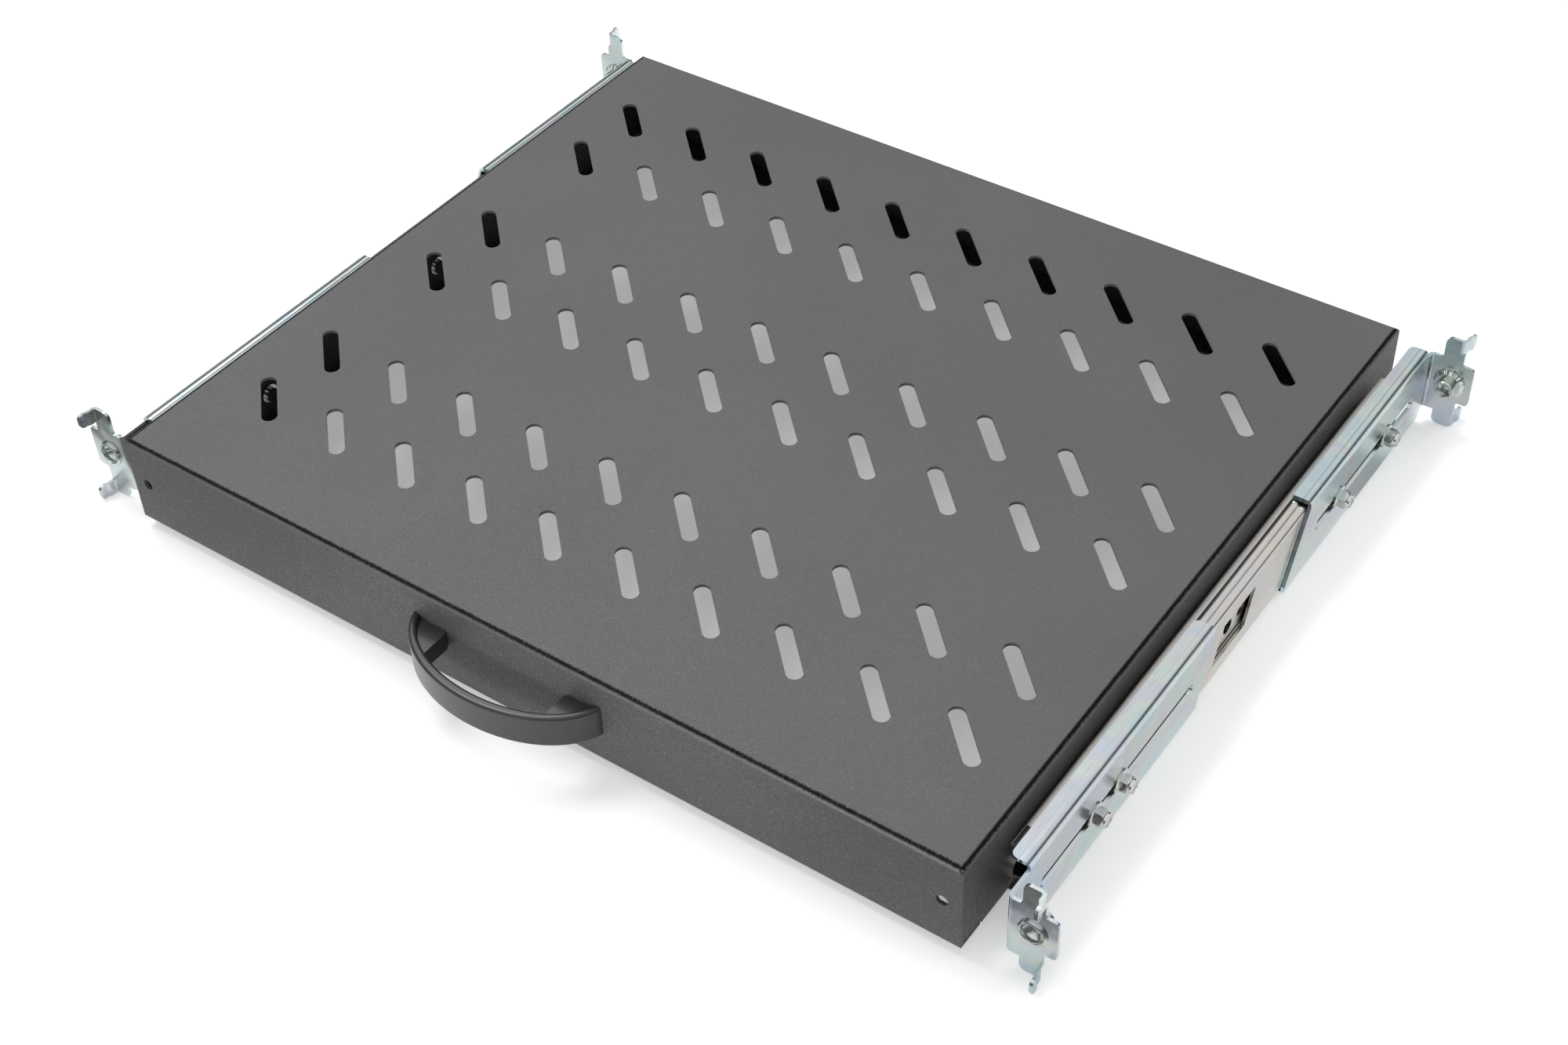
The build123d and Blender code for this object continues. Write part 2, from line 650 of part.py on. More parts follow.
def bracket(channel_start, top_end, bottom_end, slot_start, slot_end):
    """A front right-hand bracket with its flange's rail face at Y = 0 and its arm along +Y."""
    arm_end = max(top_end, bottom_end)
    with BuildPart() as arm:
        with BuildSketch(Plane.XZ.offset(-channel_start)) as profile:
            span(bracket_outer_x - bracket_top_flange, bracket_outer_x,
                 slide_z - bracket_half, slide_z + bracket_half)
            corners = profile.vertices().group_by(Axis.X)[-1]
            fillet(corners, bracket_bend_radius + bracket_sheet)
            span(bracket_outer_x - bracket_top_flange, bracket_web_x,
                 slide_z - bracket_inner_half, slide_z + bracket_inner_half, Mode.SUBTRACT)
            span(bracket_outer_x - bracket_top_flange, bracket_outer_x - bracket_bottom_flange,
                 slide_z - bracket_half, slide_z, Mode.SUBTRACT)
        extrude(amount=-(arm_end - channel_start))
        with BuildSketch(side_plane(bracket_outer_x - bracket_top_flange)) as silhouette:
            with BuildLine() as border:
                Polyline(
                    (channel_start, slide_z - bracket_half),
                    (channel_start, slide_z + bracket_half),
                    (top_end, slide_z + bracket_half),
                    (bottom_end, slide_z - bracket_half),
                    close=True,
                )
            make_face(border.edges())
            low_corner = silhouette.vertices().sort_by_distance((bottom_end, slide_z - bracket_half))[0]
            fillet(low_corner, bracket_corner_radius)
        extrude(amount=bracket_top_flange, mode=Mode.INTERSECT)
        with BuildSketch(Plane.XY.offset(slide_z)) as plan:
            span(bracket_outer_x - bracket_top_flange, bracket_outer_x, channel_start, arm_end)
            inner_corners = plan.vertices().group_by(Axis.X)[0]
            fillet(inner_corners, bracket_corner_radius)
        extrude(amount=bracket_half, both=True, mode=Mode.INTERSECT)
        with BuildSketch(side_plane(bracket_web_x)) as neck:
            span(0, channel_start + bracket_corner_radius, press_nut_z - neck_bottom, press_nut_z + neck_top)
            web_half = bracket_half - bracket_bend_radius - bracket_sheet
            span(channel_start, channel_start + bracket_corner_radius, slide_z - web_half, slide_z + web_half)
            step = neck.vertices().sort_by_distance((channel_start, press_nut_z - neck_bottom))[0]
            fillet(step, bracket_step_radius)
        extrude(amount=bracket_sheet)
        with BuildSketch(Plane.XZ) as outline:
            flange_outline(outline)
        extrude(amount=-bracket_sheet)
        bends = arm.edges().filter_by(Axis.Z)
        outer_bend = bends.filter_by_position(Axis.X, bracket_web_x - same_place, bracket_web_x + same_place)
        fillet(
            outer_bend.filter_by_position(Axis.Y, -same_place, same_place),
            bracket_bend_radius + bracket_sheet,
        )
        inner_bend = bends.filter_by_position(
            Axis.X, bracket_outer_x - same_place, bracket_outer_x + same_place
        )
        fillet(
            inner_bend.filter_by_position(Axis.Y, bracket_sheet - same_place, bracket_sheet + same_place),
            bracket_bend_radius,
        )
        for side in (-1, 1):
            hook_low = press_nut_z + side * tab_reach - (hook_height if side > 0 else 0)
            with BuildSketch(Plane.XY.offset(hook_low)) as profile:
                hook_profile(profile)
            extrude(amount=hook_height)
        tips = arm.edges().filter_by(Axis.X).group_by(Axis.Y)[0]
        fillet(tips, hook_tip_radius)
        with BuildSketch(side_plane(bracket_web_x)):
            slot_middle = (slot_start + slot_end) / 2
            with Locations((slot_middle, slide_z)):
                SlotOverall(slot_end - slot_start, bracket_slot_width)
        extrude(amount=bracket_sheet, mode=Mode.SUBTRACT)
        with BuildSketch(Plane.XZ):
            with Locations((press_nut_x, press_nut_z)):
                Circle(press_nut_ring_diameter / 2 + thread_fit)
        extrude(amount=-bracket_sheet, mode=Mode.SUBTRACT)
    return arm.part


def press_nut():
    """A front right-hand press nut: ring, knurled collar, barrel, threaded hole and hexagon socket."""
    with BuildPart() as nut:
        with BuildSketch(Plane.XZ.offset(press_nut_ring_height)):
            with Locations((press_nut_x, press_nut_z)):
                Circle(press_nut_ring_diameter / 2)
        extrude(amount=-(press_nut_ring_height + bracket_sheet))
        with BuildSketch(Plane.XZ.offset(-bracket_sheet)):
            with Locations((press_nut_x, press_nut_z)):
                Circle(press_nut_collar_diameter / 2)
        extrude(amount=-press_nut_collar_height)
        with BuildSketch(Plane.XZ.offset(-bracket_sheet - press_nut_collar_height)):
            with Locations((press_nut_x, press_nut_z)):
                Circle(press_nut_barrel_diameter / 2)
        extrude(amount=-press_nut_barrel_height)
        with BuildSketch(Plane.XZ.offset(press_nut_ring_height)):
            with Locations((press_nut_x, press_nut_z)):
                Circle(press_nut_mouth_diameter / 2)
        extrude(amount=-press_nut_mouth_depth, mode=Mode.SUBTRACT)
        nut_back = bracket_sheet + press_nut_collar_height + press_nut_barrel_height
        with BuildSketch(Plane.XZ.offset(-nut_back)):
            with Locations((press_nut_x, press_nut_z)):
                RegularPolygon(press_nut_hex_across_flats / 2, 6, major_radius=False)
        extrude(amount=press_nut_hex_depth, mode=Mode.SUBTRACT)
        with BuildSketch(Plane.XZ.offset(press_nut_ring_height)):
            with Locations((press_nut_x, press_nut_z)):
                Circle(press_nut_thread_diameter / 2)
        extrude(amount=-(press_nut_ring_height + nut_back), mode=Mode.SUBTRACT)
    return nut.part


# The four brackets and their press nuts; the rear pair is the front pair turned about
press_nut_front = press_nut()
for end, arm_sizes, flange_place in (
    ("front", front_arm, front_flange_place),
    ("rear", rear_arm, rear_flange_place),
):
    for piece, name in ((bracket(**arm_sizes), "bracket"), (press_nut_front, "press_nut")):
        with BuildPart() as placed:
            add(piece)
            if end == "rear":
                mirror(about=Plane.XZ, mode=Mode.REPLACE)
        save_pair(placed.part.moved(Location((0, front_y + flange_place, 0))), f"{name}_{end}")
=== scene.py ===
import math

import bpy
from mathutils import Matrix, Vector


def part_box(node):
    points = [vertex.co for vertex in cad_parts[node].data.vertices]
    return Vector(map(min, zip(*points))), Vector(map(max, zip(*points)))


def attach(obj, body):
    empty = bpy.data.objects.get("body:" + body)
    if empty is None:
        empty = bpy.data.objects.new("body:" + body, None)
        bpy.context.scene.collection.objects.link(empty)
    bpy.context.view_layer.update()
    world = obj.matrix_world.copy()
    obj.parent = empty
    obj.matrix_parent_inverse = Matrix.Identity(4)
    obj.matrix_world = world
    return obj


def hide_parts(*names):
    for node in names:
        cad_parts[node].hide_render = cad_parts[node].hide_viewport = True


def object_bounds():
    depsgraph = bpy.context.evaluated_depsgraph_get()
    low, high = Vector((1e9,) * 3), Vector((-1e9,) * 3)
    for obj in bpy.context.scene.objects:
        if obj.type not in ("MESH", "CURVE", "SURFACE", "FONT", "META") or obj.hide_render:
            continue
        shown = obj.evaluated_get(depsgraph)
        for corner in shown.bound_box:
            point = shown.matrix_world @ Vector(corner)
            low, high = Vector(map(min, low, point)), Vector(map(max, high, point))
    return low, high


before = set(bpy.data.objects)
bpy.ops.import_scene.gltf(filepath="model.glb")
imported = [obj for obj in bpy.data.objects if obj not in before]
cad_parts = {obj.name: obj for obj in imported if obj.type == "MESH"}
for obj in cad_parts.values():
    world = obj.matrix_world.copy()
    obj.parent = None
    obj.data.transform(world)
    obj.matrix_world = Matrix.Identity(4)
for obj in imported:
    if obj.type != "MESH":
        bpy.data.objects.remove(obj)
cad_low, cad_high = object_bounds()

# The camera stands in front of the shelf's right corner and looks down on it, as in the photograph.
# Its place and turn were solved from the vent slots, and its lens from the same fit.
image_width = 2000
focal_pixels = 2972.5
sensor_width = 36.0
camera_place = (0.46234, -0.62085, 0.63805)
camera_turn, camera_tilt, camera_roll = 36.454, 47.069, -2.186
camera_data = bpy.data.cameras.new("camera")
camera_data.sensor_width = sensor_width
camera_data.lens = focal_pixels / image_width * sensor_width
camera_data.clip_start = 0.01
camera = bpy.data.objects.new("camera", camera_data)
bpy.context.scene.collection.objects.link(camera)
camera.matrix_world = (
    Matrix.Translation(camera_place)
    @ Matrix.Rotation(math.radians(camera_turn), 4, "Z")
    @ Matrix.Rotation(math.radians(camera_tilt), 4, "X")
    @ Matrix.Rotation(math.radians(camera_roll), 4, "Z")
)
bpy.context.scene.camera = camera
bpy.context.scene.view_settings.view_transform = "Standard"


# Studio: a plain white floor just under the lowest hooks, which keeps the shelf's soft shadow, and a
# white surround. Gloss alone sees a darker room near the horizon and dark cards on the floor in front
# of the shelf and beside it. Shader maths is written on Sockets, and a Recipe is one node tree.
class Socket:
    """A node's output that takes part in Python expressions."""

    def __init__(self, recipe, output):
        self.recipe = recipe
        self.output = output

    def _math(self, operation, *values):
        return self.recipe.node("ShaderNodeMath", {"operation": operation}, *values)

    def __add__(self, other):
        return self._math("ADD", self, other)

    def __radd__(self, other):
        return self._math("ADD", other, self)

    def __sub__(self, other):
        return self._math("SUBTRACT", self, other)

    def __rsub__(self, other):
        return self._math("SUBTRACT", other, self)

    def __mul__(self, other):
        return self._math("MULTIPLY", self, other)

    def __rmul__(self, other):
        return self._math("MULTIPLY", other, self)

    def __abs__(self):
        return self._math("ABSOLUTE", self)

    def larger(self, other):
        return self._math("MAXIMUM", self, other)

    def smaller(self, other):
        return self._math("MINIMUM", self, other)


class Recipe:
    """The nodes of a material, on the object's own coordinates, or of the world, on its directions."""

    def __init__(self, owner, shader, coordinates):
        owner.use_nodes = True
        self.owner = owner
        self.tree = owner.node_tree
        self.shader = self.tree.nodes[shader]
        self.place = self.node("ShaderNodeTexCoord", {}, pick=coordinates)
        self.x, self.y, self.z = (
            self.node("ShaderNodeSeparateXYZ", {}, self.place, pick=axis) for axis in range(3)
        )

    def node(self, kind, settings, *values, pick=0, **named):
        """Add a node, feed its inputs in order or by name, and give one of its outputs."""
        made = self.tree.nodes.new(kind)
        for key, value in settings.items():
            setattr(made, key, value)
        for index, value in enumerate(values):
            self.feed(made.inputs[index], value)
        for name, value in named.items():
            self.feed(made.inputs[name.replace("_", " ")], value)
        return Socket(self, made.outputs[pick])

    def feed(self, target, value):
        if isinstance(value, Socket):
            self.tree.links.new(value.output, target)
        elif target.type == "RGBA" and len(value) == 3:
            target.default_value = (*value, 1.0)
        else:
            target.default_value = value

    def set(self, **sockets):
        for name, value in sockets.items():
            self.feed(self.shader.inputs[name.replace("_", " ")], value)

    def ray(self, kind):
        """1 where the surface is seen by this kind of ray and 0 elsewhere."""
        return self.node("ShaderNodeLightPath", {}, pick=f"Is {kind} Ray")

    def noise(self, scale, detail=2.0, roughness=0.5, distortion=0.0, place=None):
        return self.node(
            "ShaderNodeTexNoise", {}, Vector=place or self.place,
            Scale=scale, Detail=detail, Roughness=roughness, Distortion=distortion,
        )

    def stretched(self, scale):
        return self.node("ShaderNodeMapping", {}, Vector=self.place, Scale=scale)

    def step(self, value, low, high):
        """0 below low, 1 above high and a smooth rise between them."""
        smooth = {"interpolation_type": "SMOOTHSTEP"}
        return self.node("ShaderNodeMapRange", smooth, value, low, high, 0.0, 1.0)

    def ramp(self, value, *stops):
        """A colour at each listed position of a value, blended between them."""
        blended = self.node("ShaderNodeValToRGB", {}, value)
        elements = blended.output.node.color_ramp.elements
        while len(elements) < len(stops):
            elements.new(0.5)
        for element, (position, colour) in zip(elements, stops):
            element.position = position
            element.color = (*colour, 1.0)
        return blended

    def mix(self, factor, first, second, blend="MIX"):
        mixed = self.node("ShaderNodeMix", {"data_type": "RGBA", "blend_type": blend}, factor, pick=2)
        first_colour, second_colour = mixed.output.node.inputs[6:8]
        self.feed(first_colour, first)
        self.feed(second_colour, second)
        return mixed

    def bump(self, height, depth, strength=1.0, normal=None):
        """Surface relief: height runs from 0 to 1 over the given depth in metres."""
        named = {"Height": height, "Distance": depth, "Strength": strength}
        if normal:
            named["Normal"] = normal
        return self.node("ShaderNodeBump", {}, **named)


def finish(name):
    """A new material's recipe."""
    return Recipe(bpy.data.materials.new(name), "Principled BSDF", "Object")


def grey(level):
    return (level, level, level)


floor_size = 12.0
floor_whiteness = 0.33
surround_light = 0.66
front_card_y = -0.183
rear_card_y = 0.136
bpy.ops.mesh.primitive_plane_add(size=floor_size, location=(0, 0, cad_low[2]))
floor = bpy.context.object
floor.name = "floor"
paper = finish("white_floor")
glossy = paper.ray("Glossy")
off_middle = abs(paper.x)
front_card = paper.step(front_card_y - paper.y, 0.0, 0.016) * paper.step(off_middle, 0.100, 0.145)
rear_card = 0.5 * (1 - paper.step(abs(paper.y - rear_card_y), 0.010, 0.026))
rear_card = rear_card * paper.step(off_middle, 0.195, 0.205)
side_card = 0.24 * paper.step(off_middle, 0.222, 0.240)
blotches = paper.step(paper.noise(22.0, detail=2.0, distortion=0.8), 0.0, 0.34)
cards = front_card.larger(rear_card.larger(side_card)) * blotches * glossy
floor_glow = paper.ray("Camera") + glossy * (1 - cards) + paper.ray("Transmission")
paper.set(
    Base_Color=paper.mix(cards * 0.9, grey(0.80), grey(0.05)),
    Roughness=0.9, Specular_IOR_Level=0.0,
    Emission_Color=(1.0, 1.0, 1.0), Emission_Strength=floor_glow * floor_whiteness,
)
floor.data.materials.append(paper.owner)

world = bpy.data.worlds.new("surround")
bpy.context.scene.world = world
room = Recipe(world, "Background", "Generated")
glossy = room.ray("Glossy")
room_seen = room.ramp(
    room.z, (0.0, grey(0.20)), (0.16, grey(0.08)), (0.40, grey(0.16)), (0.60, grey(0.86)),
    (1.0, grey(1.0)),
)
plain_rays = room.ray("Camera") + room.ray("Transmission")
plain_level = surround_light + (1 - surround_light) * plain_rays
room.set(Color=(1.0, 1.0, 1.0), Strength=(1 - glossy) * plain_level + glossy * room_seen)


def lamp(name, place, aim, size, power, in_gloss):
    """A large soft lamp aimed at a point on the shelf, and whether gloss shows it."""
    data = bpy.data.lights.new(name, "AREA")
    data.shape = "RECTANGLE"
    data.size, data.size_y = size
    data.energy = power
    made = bpy.data.objects.new(name, data)
    made.visible_glossy = in_gloss
    bpy.context.scene.collection.objects.link(made)
    turn = (Vector(aim) - Vector(place)).to_track_quat("-Z", "Y")
    made.matrix_world = Matrix.Translation(place) @ turn.to_matrix().to_4x4()


lamp("window_lamp", (-0.9, 0.15, 1.7), aim=(0, 0, 0), size=(1.3, 0.7), power=23.0, in_gloss=True)
lamp("fill_lamp", (1.0, 1.2, 1.1), aim=(0, 0, 0), size=(1.2, 1.0), power=6.0, in_gloss=False)
lamp("front_lamp", (0.0, -1.6, 0.24), aim=(0, -0.2, 0), size=(1.2, 0.4), power=14.0, in_gloss=False)


# Tray: one folded sheet of steel under an anthracite powder coat with a leather-like grain. Along the
# folds the coat is thin and black, in a narrow line with short hairs across it.
def dress(recipe, *names):
    """Give CAD nodes a material."""
    for name in names:
        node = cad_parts[name]
        node.data.materials.clear()
        node.data.materials.append(recipe.owner)


tray_low, tray_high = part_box("tray_pan")
fold_place = 0.0014
fold_core = 0.0004
fold_reach = 0.0012
hair_length = 0.0022
hairs_across, hairs_along = 5200.0, 300.0
grain_depth = 0.00038
coat = finish("powder_coat")
leather = coat.step(coat.noise(1080.0, detail=3.0, roughness=0.6, distortion=1.1), 0.36, 0.64)
patches = coat.step(coat.noise(9.0, detail=3.0), 0.3, 0.7)
front_hairs = coat.noise(1.0, place=coat.stretched((hairs_across, hairs_along, hairs_along)))
side_hairs = coat.noise(1.0, place=coat.stretched((hairs_along, hairs_across, hairs_along)))
front_line = abs(coat.y - (tray_low[1] + fold_place)) + (front_hairs - 0.5) * hair_length
side_line = abs(abs(coat.x) - (tray_high[0] - fold_place)) + (side_hairs - 0.5) * hair_length
on_top = coat.step(coat.z, -0.0016, -0.0004)
fold = (1 - coat.step(front_line.smaller(side_line), fold_core, fold_reach)) * on_top
on_sides = 1 - coat.step(coat.z, -0.0030, -0.0008)
coat_colour = coat.mix(patches, (0.091, 0.091, 0.093), (0.100, 0.100, 0.101))
coat_colour = coat.mix(leather * (0.14 + 0.34 * on_sides), coat_colour, (0.052, 0.052, 0.053))
# Painted highlight: along the front round the coat's colour is lighter, faint at the left and stronger
# towards the right.
on_edge = 1 - coat.step(abs(coat.z + 0.0008), 0.0003, 0.0012)
front_round_highlight = coat.step(tray_low[1] + 0.0022 - coat.y, 0.0, 0.0006) * on_edge
front_round_highlight = front_round_highlight * (0.05 + 0.42 * coat.step(coat.x, -0.02, 0.20))
coat_colour = coat.mix(front_round_highlight, coat_colour, (0.21, 0.21, 0.212))
coat.set(
    Base_Color=coat.mix(fold, coat_colour, grey(0.003)),
    Metallic=fold * 0.8,
    Roughness=0.36 + 0.18 * leather,
    Specular_IOR_Level=0.42,
    Normal=coat.bump(leather * (0.22 + 0.78 * on_sides), grain_depth, 0.9),
)
dress(coat, "tray_pan")

# Handle: a bow moulded in near-black plastic with a soft sheen, on two feet that are screwed to the
# tray's front from inside.
bow = finish("handle_plastic")
bow_wave = bow.noise(60.0)
bow.set(
    Base_Color=bow.mix(bow_wave, (0.024, 0.024, 0.025), (0.031, 0.031, 0.032)),
    Roughness=0.22 + 0.10 * bow_wave,
    Specular_IOR_Level=0.42,
    Normal=bow.bump(bow.noise(1500.0), 0.00002, 0.3),
)
dress(bow, "handle_grip")


# Slide members: three on each side, rolled from steel strip so that they run in each other on balls.
# Their zinc is bright and slightly warm, with rolling marks along its length.
def zinc(name, dull, bright, roughness, tint, along, wave, fold=None):
    """Zinc-plated steel: cloudy plating, a faint rainbow, fine marks along the sheet and its waviness.

    fold is the place of a soft bend out from the middle of the shelf, with a crease beside it.
    """
    plate = finish(name)
    lengthwise = plate.stretched(along)
    cloud = plate.noise(38.0, detail=4.0, roughness=0.6)
    streak = plate.noise(420.0, detail=3.0, place=lengthwise)
    ripple = plate.noise(95.0, detail=1.0, place=lengthwise)
    scratch = plate.step(plate.noise(900.0, place=lengthwise), 0.60, 0.72)
    rainbow = plate.ramp(
        plate.noise(24.0, distortion=1.2),
        (0.28, (0.66, 0.78, 0.86)), (0.42, (0.74, 0.90, 0.86)), (0.50, (0.94, 0.92, 0.74)),
        (0.58, (0.90, 0.76, 0.80)), (0.72, (0.68, 0.78, 0.92)),
    )
    base = plate.mix(scratch * 0.35, plate.mix(cloud, dull, bright), (0.42, 0.43, 0.43))
    relief = plate.bump(ripple, wave, 0.8)
    if fold:
        soft_bend = 1 - plate.step(abs(plate.x), fold - 0.0036, fold + 0.0010)
        crease = plate.step(abs(abs(plate.x) - (fold - 0.0048)), 0.0, 0.0009)
        relief = plate.bump(crease, 0.00010, 1.0, normal=relief)
        relief = plate.bump(soft_bend, 0.0013, 1.0, normal=relief)
    plate.set(
        Base_Color=plate.mix(tint, base, rainbow, "MULTIPLY"),
        Metallic=1.0,
        Roughness=roughness + 0.14 * streak + 0.16 * (cloud - 0.5),
        Normal=plate.bump(streak, 0.00003, 0.5, normal=relief),
    )
    return plate


sides = ("left", "right")
rolled = zinc(
    "slide_zinc", dull=(0.60, 0.59, 0.56), bright=(0.74, 0.73, 0.70), roughness=0.18, tint=0.30,
    along=(1.0, 0.015, 1.0), wave=0.0003,
)
dress(rolled, *[f"{part}_member_{side}" for part in ("inner", "middle", "outer") for side in sides])

# Brackets: sheet steel, stamped with its slot and hooks and bent round the outer members, where the
# flange nuts clamp it. Its blue-passivated zinc shows a pale rainbow.
blued = zinc(
    "bracket_zinc", dull=(0.57, 0.65, 0.69), bright=(0.71, 0.77, 0.80), roughness=0.16, tint=0.52,
    along=(1.0, 0.05, 1.0), wave=0.0004, fold=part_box("flange_nuts_right")[0][0],
)
dress(blued, *[f"bracket_{end}_{side}" for end in ("front", "rear") for side in sides])

# Studs, screws, rivet nuts and flange nuts: cold formed steel with bright zinc. The flange nuts are
# modelled here, with a washer face, chamfered hexagon and turned-in crown, and sit on the studs.
small = zinc(
    "fastener_zinc", dull=(0.62, 0.64, 0.63), bright=(0.78, 0.79, 0.77), roughness=0.14, tint=0.15,
    along=(1.0, 1.0, 1.0), wave=0.00005,
)
fastener_rows = ("clinch_studs", "flange_nuts", "tray_screws", "rivet_nuts")
dress(small, "handle_screws", *[f"{part}_{side}" for part in fastener_rows for side in sides])
row_low, row_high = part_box("flange_nuts_right")
nut_foot_x = row_low[0]
nut_z = (row_low[2] + row_high[2]) / 2
washer_radius = 0.0053
front_pair_gap, rear_pair_gap = 0.0195, 0.0470
nut_places = (
    row_low[1] + washer_radius, row_low[1] + washer_radius + front_pair_gap,
    row_high[1] - washer_radius - rear_pair_gap, row_high[1] - washer_radius,
)
nut_turns = (12, 47, 28, 3)
across_flats = 0.0072
hexagon_depth, hexagon_middle, hexagon_bevel = 0.0056, 0.0038, 0.00015
washer_profile = (
    (0.00205, 0.0), (0.0051, 0.0), (0.0053, 0.00015), (0.0053, 0.0007), (0.0050, 0.00095),
    (0.0040, 0.0013), (0.00205, 0.0013),
)
crown_profile = (
    (0.00205, 0.0008), (0.00425, 0.0008), (0.00425, 0.0036), (0.0040, 0.0041), (0.0037, 0.0045),
    (0.0034, 0.0048), (0.0033, 0.0053), (0.0031, 0.0057), (0.0028, 0.0059), (0.0026, 0.0060),
    (0.0025, 0.0058), (0.0025, 0.0047), (0.00205, 0.0047),
)
nut_segments = 48
smooth_angle = 26


def turned(name, centre, along, profile, segments):
    """A closed ring turned about X or Y: the profile lists radii and distances along that axis."""
    centre, along = Vector(centre), Vector(along)
    about_x = along.x != 0
    bpy.ops.object.select_all(action="DESELECT")
    bpy.ops.mesh.primitive_circle_add(
        vertices=segments, radius=profile[0][0], location=centre + along * profile[0][1],
        rotation=(0, math.pi / 2, 0) if about_x else (math.pi / 2, 0, 0),
    )
    made = bpy.context.object
    made.name = name
    bpy.ops.object.transform_apply(location=True, rotation=True, scale=True)
    bpy.ops.object.mode_set(mode="EDIT")
    bpy.ops.mesh.select_all(action="SELECT")
    for (radius, distance), (next_radius, next_distance) in zip(profile, profile[1:] + profile[:1]):
        bpy.ops.mesh.extrude_region_move(
            TRANSFORM_OT_translate={"value": along * (next_distance - distance)},
        )
        grow = next_radius / radius
        bpy.ops.transform.resize(
            value=(1, grow, grow) if about_x else (grow, 1, grow),
            center_override=centre + along * next_distance,
        )
    bpy.ops.mesh.select_all(action="SELECT")
    bpy.ops.mesh.remove_doubles(threshold=0.000002)
    bpy.ops.mesh.normals_make_consistent(inside=False)
    bpy.ops.object.mode_set(mode="OBJECT")
    return made


def hexagon_bar(flats, depth, middle, rotation):
    """A six-sided bar, given by its width across flats."""
    bpy.ops.object.select_all(action="DESELECT")
    bpy.ops.mesh.primitive_cylinder_add(
        vertices=6, radius=flats / 2 / math.cos(math.radians(30)), depth=depth, location=middle,
        rotation=rotation,
    )
    return bpy.context.object


def carve(piece, tool, operation):
    """Cut or keep a piece by a tool body, which is used up."""
    bpy.ops.object.select_all(action="DESELECT")
    bpy.context.view_layer.objects.active = piece
    piece.select_set(True)
    cut = piece.modifiers.new(operation, "BOOLEAN")
    cut.operation = operation
    cut.object = tool
    bpy.ops.object.modifier_apply(modifier=cut.name)
    bpy.data.objects.remove(tool)


def joined(name, pieces):
    """Several pieces as one object with smooth rounds and crisp edges, at the origin."""
    bpy.ops.object.select_all(action="DESELECT")
    for piece in pieces:
        piece.select_set(True)
    bpy.context.view_layer.objects.active = pieces[0]
    bpy.ops.object.join()
    bpy.ops.object.transform_apply(location=True, rotation=True, scale=True)
    bpy.ops.object.shade_smooth_by_angle(angle=math.radians(smooth_angle))
    made = bpy.context.object
    made.name = name
    return made


def copied(piece, name):
    """A copy with its own mesh, selected alone in edit mode and ready to be moved."""
    bpy.ops.object.select_all(action="DESELECT")
    bpy.context.view_layer.objects.active = piece
    piece.select_set(True)
    bpy.ops.object.duplicate()
    made = bpy.context.object
    made.name = name
    bpy.ops.object.mode_set(mode="EDIT")
    bpy.ops.mesh.select_all(action="SELECT")
    return made


for side, sign in (("right", 1), ("left", -1)):
    out = Vector((sign, 0, 0))
    foot = Vector((sign * nut_foot_x, nut_places[0], nut_z))
    washer = turned("washer", foot, out, washer_profile, nut_segments)
    crown = turned("crown", foot, out, crown_profile, nut_segments)
    hexagon = hexagon_bar(across_flats, hexagon_depth, foot + out * hexagon_middle, (0, math.pi / 2, 0))
    bpy.ops.object.mode_set(mode="EDIT")
    bpy.ops.mesh.select_all(action="SELECT")
    bpy.ops.mesh.bevel(offset=hexagon_bevel, segments=2)
    bpy.ops.object.mode_set(mode="OBJECT")
    carve(hexagon, crown, "INTERSECT")
    first_nut = joined("nut", [hexagon, washer])
    nuts = [first_nut]
    for place, turn in zip(nut_places[1:], nut_turns[1:]):
        nut = copied(first_nut, "nut")
        bpy.ops.transform.rotate(value=math.radians(turn), orient_axis="X", center_override=foot)
        bpy.ops.transform.translate(value=(0, place - nut_places[0], 0))
        bpy.ops.object.mode_set(mode="OBJECT")
        nuts.append(nut)
    nut_set = joined(f"flange_nut_set_{side}", nuts)
    nut_set.data.materials.append(small.owner)
    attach(nut_set, "rails")
    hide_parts(f"flange_nuts_{side}")

# Press nuts: turned steel pressed into each rail flange, with a rounded ring, a knurled collar, a
# threaded bore and a hexagon socket behind. Their blue zinc is greyer than the sheet round them.
press = zinc(
    "press_nut_zinc", dull=(0.60, 0.65, 0.65), bright=(0.76, 0.80, 0.79), roughness=0.15, tint=0.3,
    along=(1.0, 1.0, 1.0), wave=0.00003,
)
ring_height = 0.0012
press_low, press_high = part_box("press_nut_front_right")
press_x = (press_low[0] + press_high[0]) / 2
press_z = (press_low[2] + press_high[2]) / 2
rail_face_y = press_low[1] + ring_height
press_axis = Vector((press_x, rail_face_y, press_z))
press_profile = (
    (0.00305, 0.0024), (0.0043, 0.0012), (0.0046, 0.0007), (0.0046, -0.0007), (0.0047, -0.0010),
    (0.0049, -0.0012), (0.0055, -0.0012), (0.0058, -0.0010), (0.0060, -0.0007), (0.0060, 0.0015),
    (0.00690, 0.0015), (0.00700, 0.0024), (0.0056, 0.0036), (0.0047, 0.0036), (0.0047, 0.0078),
    (0.0045, 0.0081), (0.00305, 0.0081),
)
press_length = 0.0081
press_segments = 90
segment_angle = 360 / press_segments
collar_back_radius, collar_inner_radius = 0.0056, 0.0061
same_radius = 0.00005
knurl_growth = 1.052
socket_flats, socket_depth = 0.0062, 0.0022
thread_start, thread_pitch, thread_turns = 0.0028, 0.001, 3
thread_radius, tooth_radius = 0.0030, 0.00045
nut_body = turned("press_nut", press_axis, (0, 1, 0), press_profile, press_segments)
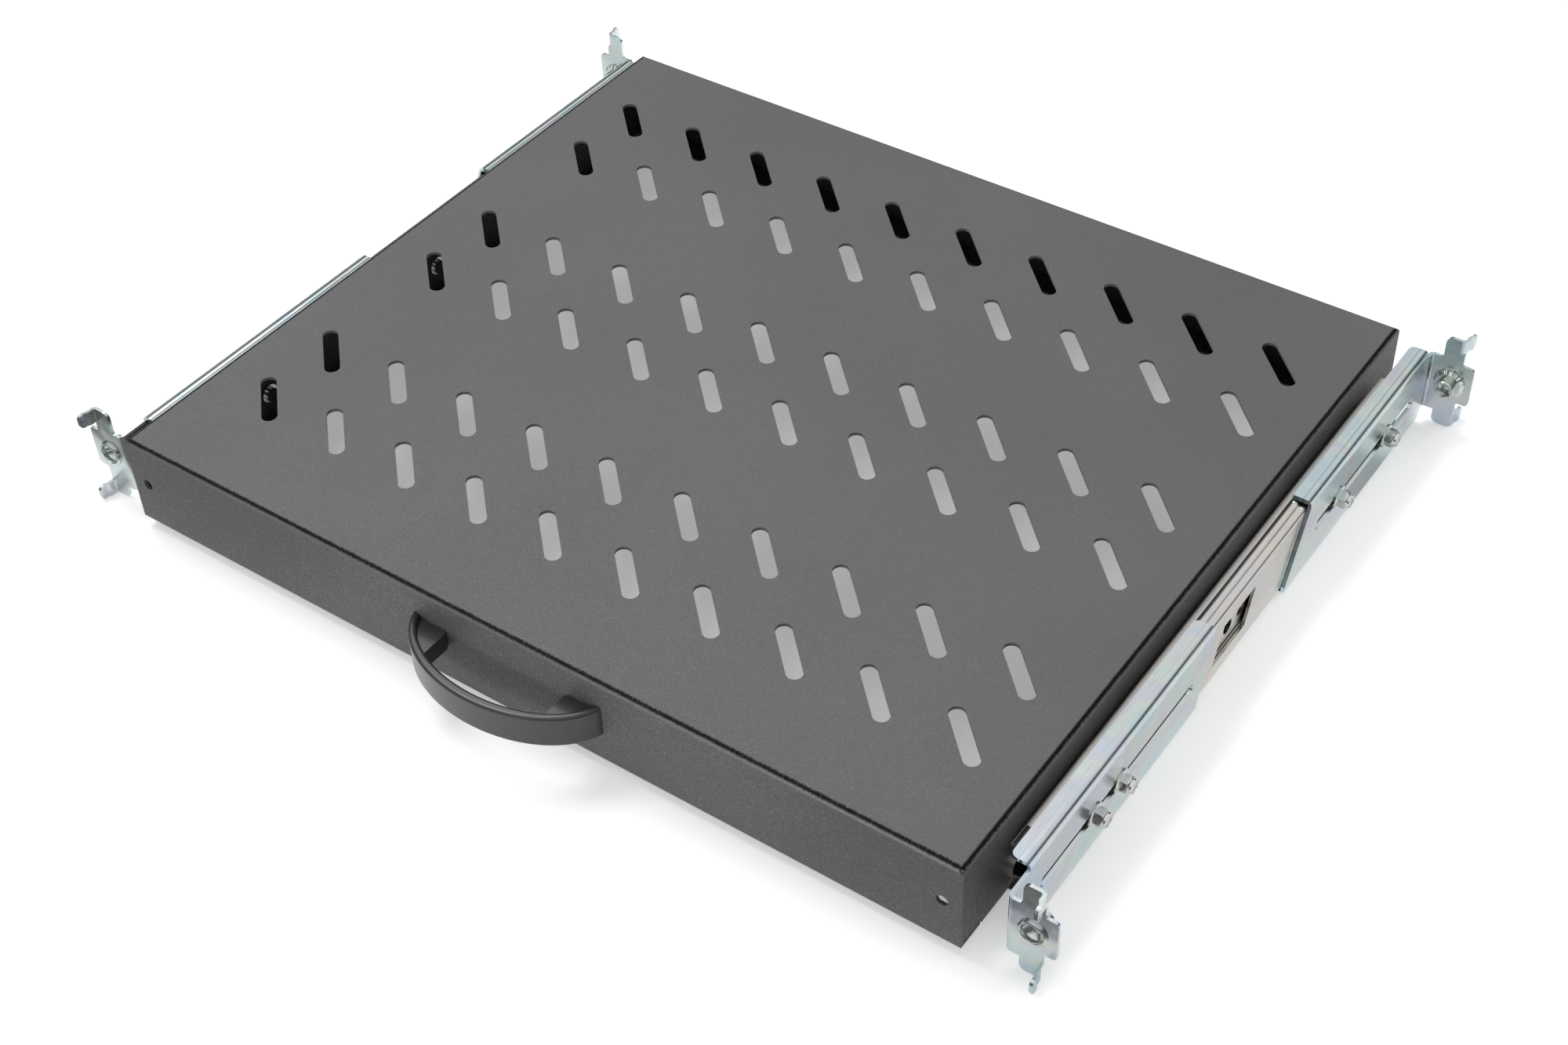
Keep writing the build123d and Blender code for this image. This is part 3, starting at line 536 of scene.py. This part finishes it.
# The corners lie halfway between whole segments, so rounding raises an uneven half of them.
for vertex in nut_body.data.vertices:
    around = Vector((vertex.co.x - press_x, vertex.co.z - press_z))
    segment = round(math.degrees(math.atan2(around.y, around.x)) / segment_angle)
    on_back = abs(around.length - collar_back_radius) < same_radius and vertex.co.y > rail_face_y
    vertex.select = (around.length > collar_inner_radius or on_back) and segment % 2 == 0
for part in (*nut_body.data.edges, *nut_body.data.polygons):
    part.select = False
bpy.ops.object.mode_set(mode="EDIT")
bpy.context.tool_settings.mesh_select_mode = (True, False, False)
bpy.ops.transform.resize(value=(knurl_growth, 1, knurl_growth), center_override=press_axis)
bpy.ops.object.mode_set(mode="OBJECT")
socket_mouth = press_axis + Vector((0, press_length, 0))
carve(
    nut_body, hexagon_bar(socket_flats, 2 * socket_depth, socket_mouth, (math.pi / 2, 0, 0)),
    "DIFFERENCE",
)
bpy.ops.object.select_all(action="DESELECT")
bpy.ops.mesh.primitive_circle_add(
    vertices=3, radius=tooth_radius, location=press_axis + Vector((0, thread_start, 0)),
    rotation=(0, 0, math.pi / 2), fill_type="NGON",
)
thread = bpy.context.object
bpy.ops.object.transform_apply(location=False, rotation=True, scale=True)
bpy.ops.object.mode_set(mode="EDIT")
bpy.ops.mesh.select_all(action="SELECT")
bpy.ops.transform.translate(value=(thread_radius, 0, 0))
bpy.ops.object.mode_set(mode="OBJECT")
winding = thread.modifiers.new("winding", "SCREW")
winding.axis = "Y"
winding.screw_offset = thread_pitch
winding.iterations = thread_turns
winding.steps = winding.render_steps = 40
bpy.ops.object.modifier_apply(modifier=winding.name)
bpy.ops.object.mode_set(mode="EDIT")
bpy.ops.mesh.select_all(action="SELECT")
bpy.ops.mesh.normals_make_consistent(inside=False)
bpy.ops.object.mode_set(mode="OBJECT")
front_right_nut = joined("press_nut_turned_front_right", [nut_body, thread])
front_right_nut.data.materials.append(press.owner)
rear_face_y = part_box("press_nut_rear_right")[1][1] - ring_height
for end, side in (("front", "right"), ("front", "left"), ("rear", "right"), ("rear", "left")):
    nut = front_right_nut
    if (end, side) != ("front", "right"):
        nut = copied(front_right_nut, f"press_nut_turned_{end}_{side}")
        if end == "rear":
            bpy.ops.transform.rotate(value=math.pi, orient_axis="Z", center_override=press_axis)
        across = 0 if side == "right" else -2 * press_x
        back = 0 if end == "front" else rear_face_y - rail_face_y
        bpy.ops.transform.translate(value=(across, back, 0))
        bpy.ops.object.mode_set(mode="OBJECT")
    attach(nut, f"{end}_bracket_{side}")
    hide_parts(f"press_nut_{end}_{side}")
dress(press, *[f"press_nut_{end}_{side}" for end in ("front", "rear") for side in sides])

# Ball cages: thin stamped steel strips between the members, which keep the polished steel balls in
# two rows. They show only when the tray is pulled out.
strip = zinc(
    "retainer_steel", dull=(0.46, 0.46, 0.44), bright=(0.58, 0.57, 0.54), roughness=0.28, tint=0.15,
    along=(1.0, 0.05, 1.0), wave=0.0001,
)
dress(strip, *[f"ball_retainer_{row}_{side}" for row in ("inner", "outer") for side in sides])
polished = finish("ball_steel")
polished.set(
    Base_Color=(0.78, 0.78, 0.79), Metallic=1.0, Roughness=0.08 + 0.06 * polished.noise(300.0),
)
dress(polished, *[f"balls_{row}_{side}" for row in ("inner", "outer") for side in sides])

# Bump stops in the rear ends of the outer members, moulded in black plastic, and the nylon rings that
# the flange nuts' crowns hold, which grip the studs.
black = finish("black_plastic")
black.set(Base_Color=grey(0.02), Roughness=0.45 + 0.1 * black.noise(200.0))
dress(black, "bump_stop_left", "bump_stop_right")
nylon = finish("nylon")
nylon.set(Base_Color=(0.75, 0.75, 0.70), Roughness=0.40 + 0.1 * nylon.noise(400.0))
dress(nylon, "nylon_rings_left", "nylon_rings_right")
